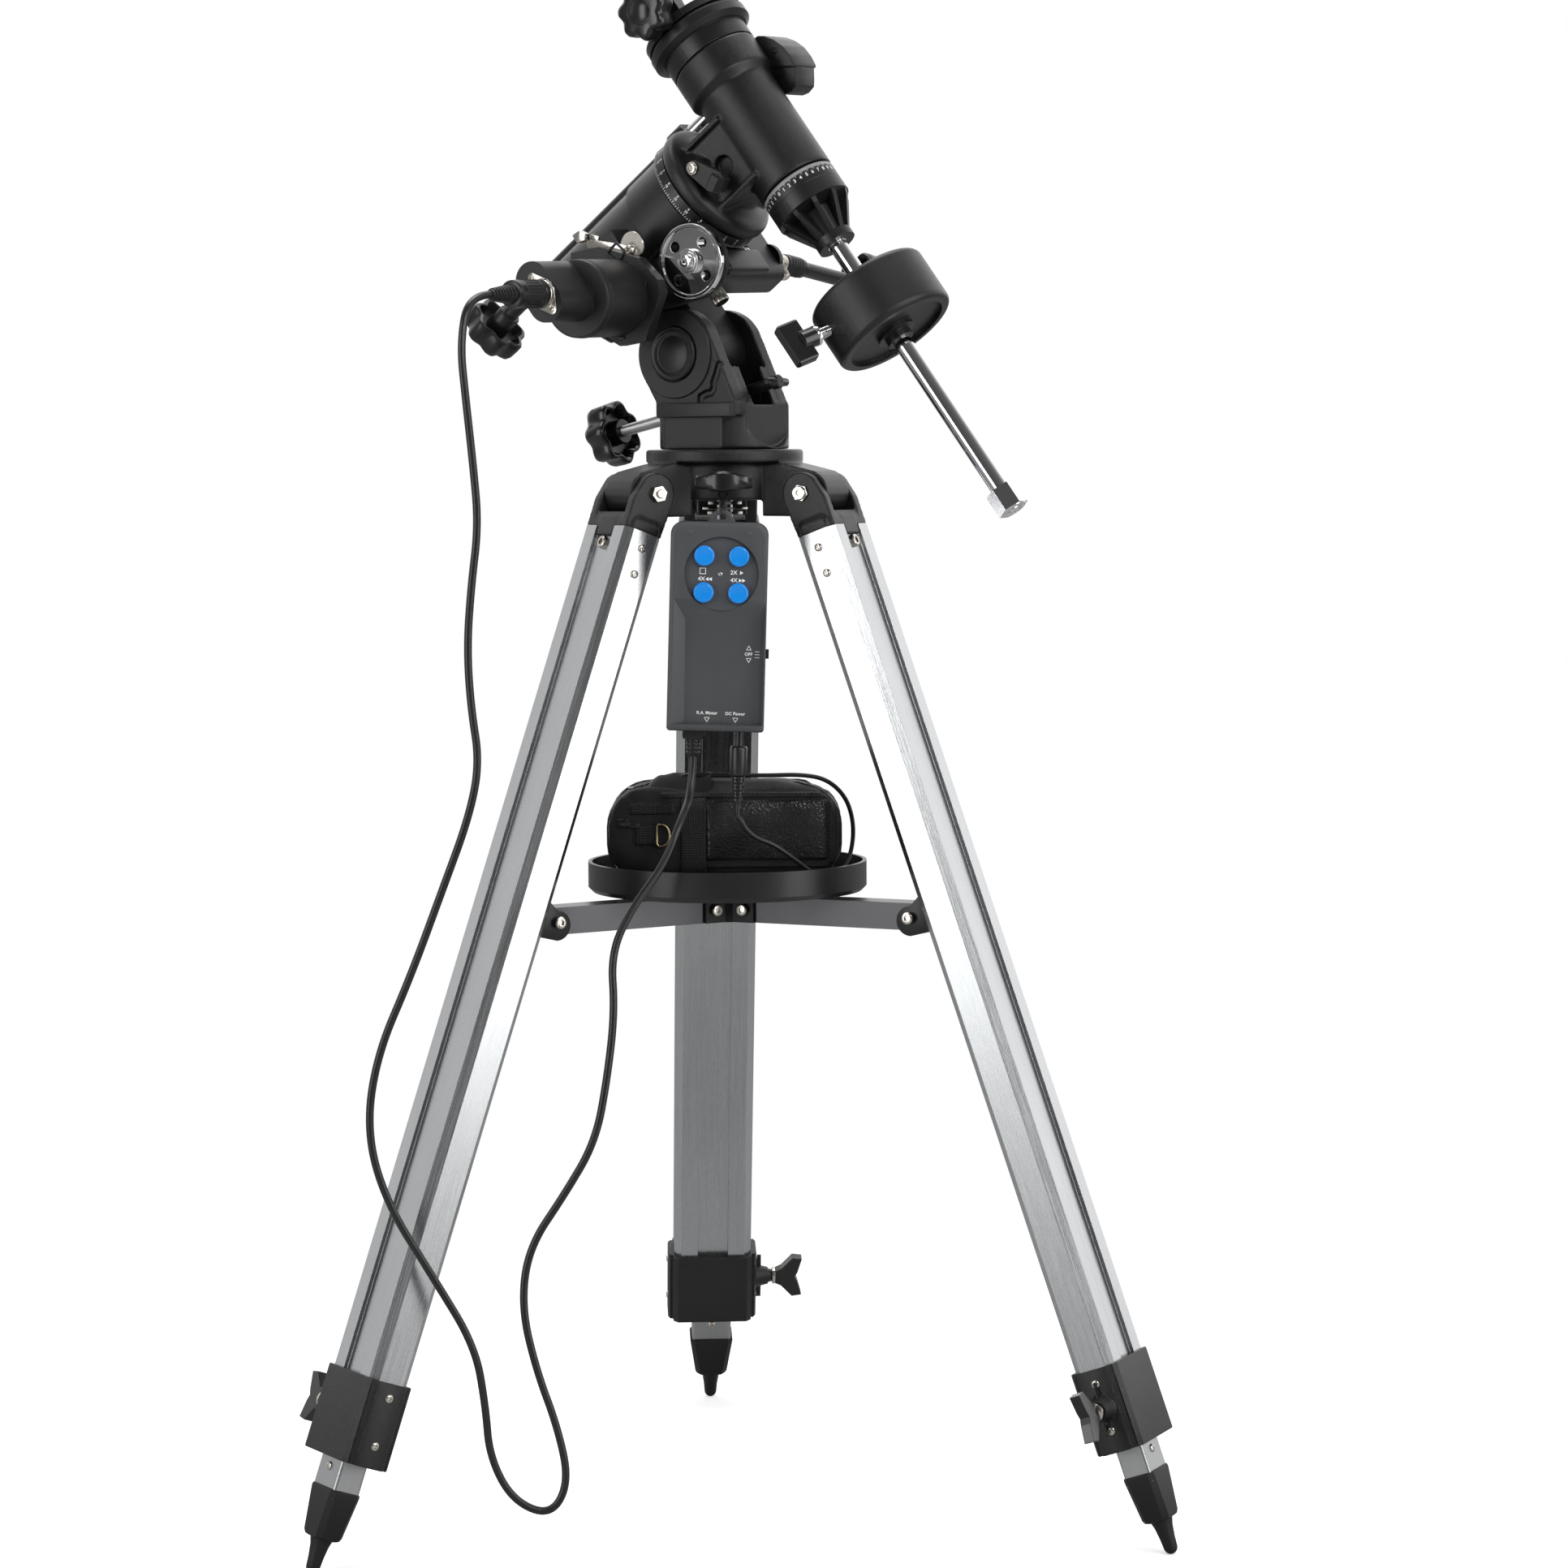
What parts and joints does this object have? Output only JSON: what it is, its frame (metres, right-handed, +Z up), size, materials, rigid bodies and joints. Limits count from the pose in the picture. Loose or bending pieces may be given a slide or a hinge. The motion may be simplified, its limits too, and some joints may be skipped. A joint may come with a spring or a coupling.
{
  "type": "motorised equatorial telescope mount on tripod",
  "caption": "Motorised equatorial telescope mount with counterweight and hand controller on a folding aluminium tripod with tray.",
  "frame": {"origin": "the tripod's vertical axis at floor level", "axes": "+Z up; +Y towards the rear leg; the hand controller hangs on the -Y side"},
  "size_m": [0.5596, 0.519, 1.0041],
  "materials": {
    "cast_black": "crinkled black powder coat on castings",
    "satin_black": "satin black paint on turned tubes",
    "tripod_black": "crinkled black coat on the tripod castings",
    "leg_alloy": "clear anodised extrusion",
    "tube_alloy": "clear anodised tube",
    "arm_alloy": "satin sheet",
    "rubber_black": "moulded foot",
    "knob_black": "moulded knob",
    "plastic_black": "moulded",
    "chrome": "polished plating",
    "steel": "turned steel",
    "nickel": "nickel-plated brass",
    "grey_case": "fine texture",
    "button_blue": "moulded",
    "bag_fabric": "woven nylon with a leather-look panel",
    "cable_black": "flexible PVC",
    "motor_black": "satin black"
  },
  "bodies": {
    "hub": {"tripod_hub": "tripod_black", "leg_pivot_bolts": "steel", "controller_case": "grey_case", "motor_cable": "cable_black", "power_plug": "cable_black"},
    "tray": {"spreader_hub": "tripod_black", "accessory_tray": "plastic_black", "battery_pouch": "bag_fabric", "power_cable": "cable_black"},
    "leg_1": {"leg_profile_1": "leg_alloy", "leg_castings_1": "tripod_black"},
    "extension_1": {"leg_tube_1": "tube_alloy", "leg_foot_1": "rubber_black"},
    "lock_1": {"leg_lock_1": "knob_black"},
    "leg_2": {"leg_profile_2": "leg_alloy", "leg_castings_2": "tripod_black"},
    "extension_2": {"leg_tube_2": "tube_alloy", "leg_foot_2": "rubber_black"},
    "lock_2": {"leg_lock_2": "knob_black"},
    "leg_3": {"leg_profile_3": "leg_alloy", "leg_castings_3": "tripod_black"},
    "extension_3": {"leg_tube_3": "tube_alloy", "leg_foot_3": "rubber_black"},
    "lock_3": {"leg_lock_3": "knob_black"},
    "arm_1": {"spreader_arm_1": "arm_alloy"},
    "arm_2": {"spreader_arm_2": "arm_alloy"},
    "arm_3": {"spreader_arm_3": "arm_alloy"},
    "center_bolt": {"center_bolt": "steel"},
    "azimuth_lock": {"azimuth_lock_screw": "knob_black"},
    "azimuth": {"azimuth_base": "cast_black", "altitude_axle": "cast_black"},
    "polar": {"polar_housing": "cast_black", "motor_case": "motor_black", "motor_bracket": "steel", "motor_plug": "motor_black", "drive_belt": "rubber_black"},
    "latitude_screw": {"latitude_screw": "knob_black"},
    "latitude_bolt": {"latitude_bolt": "knob_black"},
    "polar_dial": {"polar_dial": "satin_black"},
    "worm": {"worm_drive": "chrome"},
    "motor_pulley": {"motor_pulley": "nickel"},
    "polar_control": {"polar_control": "plastic_black"},
    "clutch_screw": {"clutch_screw": "chrome"},
    "polar_shaft": {"polar_shaft": "steel", "declination_housing": "cast_black"},
    "clutch_lever": {"clutch_lever": "cast_black"},
    "declination_control": {"declination_control": "knob_black"},
    "declination_shaft": {"declination_shaft": "satin_black", "dovetail_saddle": "cast_black", "counterweight_bar": "cast_black", "toe_nut": "chrome"},
    "declination_dial": {"declination_dial": "satin_black"},
    "saddle_knob": {"saddle_knob": "knob_black"},
    "counterweight": {"counterweight": "cast_black"},
    "weight_screw": {"counterweight_screw": "knob_black"},
    "button_stop": {"button_stop": "button_blue"},
    "button_fast": {"button_fast": "button_blue"},
    "button_back": {"button_back": "button_blue"},
    "button_ahead": {"button_ahead": "button_blue"},
    "power_switch": {"power_switch": "plastic_black"}
  },
  "joints": [
    {"name": "tray_lift", "type": "slide", "parent": "hub", "child": "tray", "axis": [0, 0, 1], "range_m": [0, 0.032]},
    {"name": "leg_fold_1", "type": "hinge", "parent": "hub", "child": "leg_1", "pos_m": [0, 0.0674, 0.6735], "axis": [-1, 0, 0], "range_deg": [0, 1.02]},
    {"name": "leg_slide_1", "type": "slide", "parent": "leg_1", "child": "extension_1", "axis": [0, 0.342, -0.9397], "range_m": [0, 0.32]},
    {"name": "leg_lock_turn_1", "type": "hinge", "parent": "leg_1", "child": "lock_1", "pos_m": [0.032, 0.27928, 0.09721], "axis": [1, 0, 0], "range_deg": [-180, 180]},
    {"name": "leg_fold_2", "type": "hinge", "parent": "hub", "child": "leg_2", "pos_m": [-0.05837, -0.0337, 0.6735], "axis": [0.5, -0.866, 0], "range_deg": [0, 1.02]},
    {"name": "leg_slide_2", "type": "slide", "parent": "leg_2", "child": "extension_2", "axis": [-0.2962, -0.171, -0.9397], "range_m": [0, 0.32]},
    {"name": "leg_lock_turn_2", "type": "hinge", "parent": "leg_2", "child": "lock_2", "pos_m": [-0.25786, -0.11193, 0.09721], "axis": [-0.5, 0.866, 0], "range_deg": [-180, 180]},
    {"name": "leg_fold_3", "type": "hinge", "parent": "hub", "child": "leg_3", "pos_m": [0.05837, -0.0337, 0.6735], "axis": [0.5, 0.866, 0], "range_deg": [0, 1.02]},
    {"name": "leg_slide_3", "type": "slide", "parent": "leg_3", "child": "extension_3", "axis": [0.2962, -0.171, -0.9397], "range_m": [0, 0.32]},
    {"name": "leg_lock_turn_3", "type": "hinge", "parent": "leg_3", "child": "lock_3", "pos_m": [0.22586, -0.16735, 0.09721], "axis": [-0.5, -0.866, 0], "range_deg": [-180, 180]},
    {"name": "arm_tilt_1", "type": "hinge", "parent": "tray", "child": "arm_1", "pos_m": [0, 0.018, 0.40055], "axis": [-1, 0, 0], "range_deg": [0, 16.2]},
    {"name": "arm_tilt_2", "type": "hinge", "parent": "tray", "child": "arm_2", "pos_m": [-0.01559, -0.009, 0.40055], "axis": [0.5, -0.866, 0], "range_deg": [0, 16.2]},
    {"name": "arm_tilt_3", "type": "hinge", "parent": "tray", "child": "arm_3", "pos_m": [0.01559, -0.009, 0.40055], "axis": [0.5, 0.866, 0], "range_deg": [0, 16.2]},
    {"name": "center_bolt_turn", "type": "hinge", "parent": "hub", "child": "center_bolt", "pos_m": [0, 0, 0.669], "axis": [0, 0, 1], "range_deg": [-180, 180]},
    {"name": "azimuth_lock_turn", "type": "hinge", "parent": "hub", "child": "azimuth_lock", "pos_m": [-0.00314, -0.0499, 0.681], "axis": [-0.0628, -0.998, 0], "range_deg": [-20, 20]},
    {"name": "azimuth_turn", "type": "hinge", "parent": "hub", "child": "azimuth", "pos_m": [0, 0, 0.702], "axis": [0, 0, 1], "range_deg": [-30, 30]},
    {"name": "latitude_tilt", "type": "hinge", "parent": "azimuth", "child": "polar", "pos_m": [-0.01071, 0.00855, 0.7638], "axis": [-0.6239, -0.7815, 0], "range_deg": [-14, 14]},
    {"name": "latitude_screw_feed", "type": "slide", "parent": "azimuth", "child": "latitude_screw", "axis": [0.7644, -0.6102, 0.2079], "range_m": [-0.008, 0.008]},
    {"name": "latitude_bolt_feed", "type": "slide", "parent": "azimuth", "child": "latitude_bolt", "axis": [0.7644, -0.6102, 0.2079], "range_m": [-0.008, 0.008]},
    {"name": "polar_dial_turn", "type": "hinge", "parent": "polar", "child": "polar_dial", "pos_m": [-0.01335, 0.01066, 0.8658], "axis": [0.6274, -0.5009, 0.5962], "continuous": true},
    {"name": "worm_turn", "type": "hinge", "parent": "polar", "child": "worm", "pos_m": [0.00392, -0.00011, 0.82483], "axis": [-0.5986, -0.7999, -0.042], "continuous": true},
    {"name": "motor_pulley_turn", "type": "hinge", "parent": "polar", "child": "motor_pulley", "pos_m": [-0.03143, 0.0275, 0.80271], "axis": [-0.5986, -0.7999, -0.042], "continuous": true},
    {"name": "polar_control_turn", "type": "hinge", "parent": "polar", "child": "polar_control", "pos_m": [0.03385, 0.03988, 0.82693], "axis": [0.6953, 0.7051, -0.1394], "continuous": true},
    {"name": "clutch_screw_turn", "type": "hinge", "parent": "polar", "child": "clutch_screw", "pos_m": [-0.01661, -0.01951, 0.82008], "axis": [0.498, -0.3306, -0.8017], "range_deg": [-180, 180]},
    {"name": "right_ascension", "type": "hinge", "parent": "polar", "child": "polar_shaft", "pos_m": [0.02668, -0.0213, 0.90384], "axis": [0.6274, -0.5009, 0.5962], "range_deg": [-80, 80]},
    {"name": "clutch_lever_turn", "type": "hinge", "parent": "polar_shaft", "child": "clutch_lever", "pos_m": [-0.01658, -0.02657, 0.88288], "axis": [-0.5986, -0.7999, -0.042], "range_deg": [0, 40]},
    {"name": "declination_control_turn", "type": "hinge", "parent": "polar_shaft", "child": "declination_control", "pos_m": [0.01875, 0.01989, 0.94679], "axis": [0.6274, -0.5009, 0.5962], "continuous": true},
    {"name": "declination", "type": "hinge", "parent": "polar_shaft", "child": "declination_shaft", "pos_m": [0.02668, -0.0213, 0.90384], "axis": [0.498, -0.3306, -0.8017], "continuous": true},
    {"name": "declination_dial_turn", "type": "hinge", "parent": "declination_shaft", "child": "declination_dial", "pos_m": [0.04655, -0.03449, 0.87185], "axis": [0.498, -0.3306, -0.8017], "continuous": true},
    {"name": "saddle_knob_turn", "type": "hinge", "parent": "declination_shaft", "child": "saddle_knob", "pos_m": [-0.04235, -0.01295, 0.98349], "axis": [-0.5986, -0.7999, -0.042], "range_deg": [-180, 180]},
    {"name": "weight_slide", "type": "slide", "parent": "declination_shaft", "child": "counterweight", "axis": [0.498, -0.3306, -0.8017], "range_m": [-0.024, 0.115]},
    {"name": "weight_screw_turn", "type": "hinge", "parent": "counterweight", "child": "weight_screw", "pos_m": [0.06261, -0.08544, 0.77673], "axis": [-0.8363, -0.4277, -0.3431], "range_deg": [-180, 180]},
    {"name": "button_stop_press", "type": "slide", "parent": "hub", "child": "button_stop", "axis": [0.0628, 0.998, 0], "range_m": [0, 0.0015], "stiffness_N_per_m": 800, "springref_m": -0.0005},
    {"name": "button_fast_press", "type": "slide", "parent": "hub", "child": "button_fast", "axis": [0.0628, 0.998, 0], "range_m": [0, 0.0015], "stiffness_N_per_m": 800, "springref_m": -0.0005},
    {"name": "button_back_press", "type": "slide", "parent": "hub", "child": "button_back", "axis": [0.0628, 0.998, 0], "range_m": [0, 0.0015], "stiffness_N_per_m": 800, "springref_m": -0.0005},
    {"name": "button_ahead_press", "type": "slide", "parent": "hub", "child": "button_ahead", "axis": [0.0628, 0.998, 0], "range_m": [0, 0.0015], "stiffness_N_per_m": 800, "springref_m": -0.0005},
    {"name": "power_switch_slide", "type": "slide", "parent": "hub", "child": "power_switch", "axis": [-0.0313, 0.002, -0.9995], "range_m": [0, 0.006]}
  ],
  "couplings": [
    {"joint": "leg_fold_1", "follows": "tray_lift", "rad_per_m": 0.52936},
    {"joint": "leg_fold_2", "follows": "tray_lift", "rad_per_m": 0.52936},
    {"joint": "leg_fold_3", "follows": "tray_lift", "rad_per_m": 0.52936},
    {"joint": "arm_tilt_1", "follows": "tray_lift", "rad_per_m": 8.6735},
    {"joint": "arm_tilt_2", "follows": "tray_lift", "rad_per_m": 8.6735},
    {"joint": "arm_tilt_3", "follows": "tray_lift", "rad_per_m": 8.6735},
    {"joint": "latitude_screw_feed", "follows": "latitude_tilt", "m_per_rad": 0.03},
    {"joint": "latitude_bolt_feed", "follows": "latitude_tilt", "m_per_rad": 0.03},
    {"joint": "motor_pulley_turn", "follows": "worm_turn", "ratio": 2.275},
    {"joint": "polar_control_turn", "follows": "worm_turn", "ratio": -1}
  ]
}
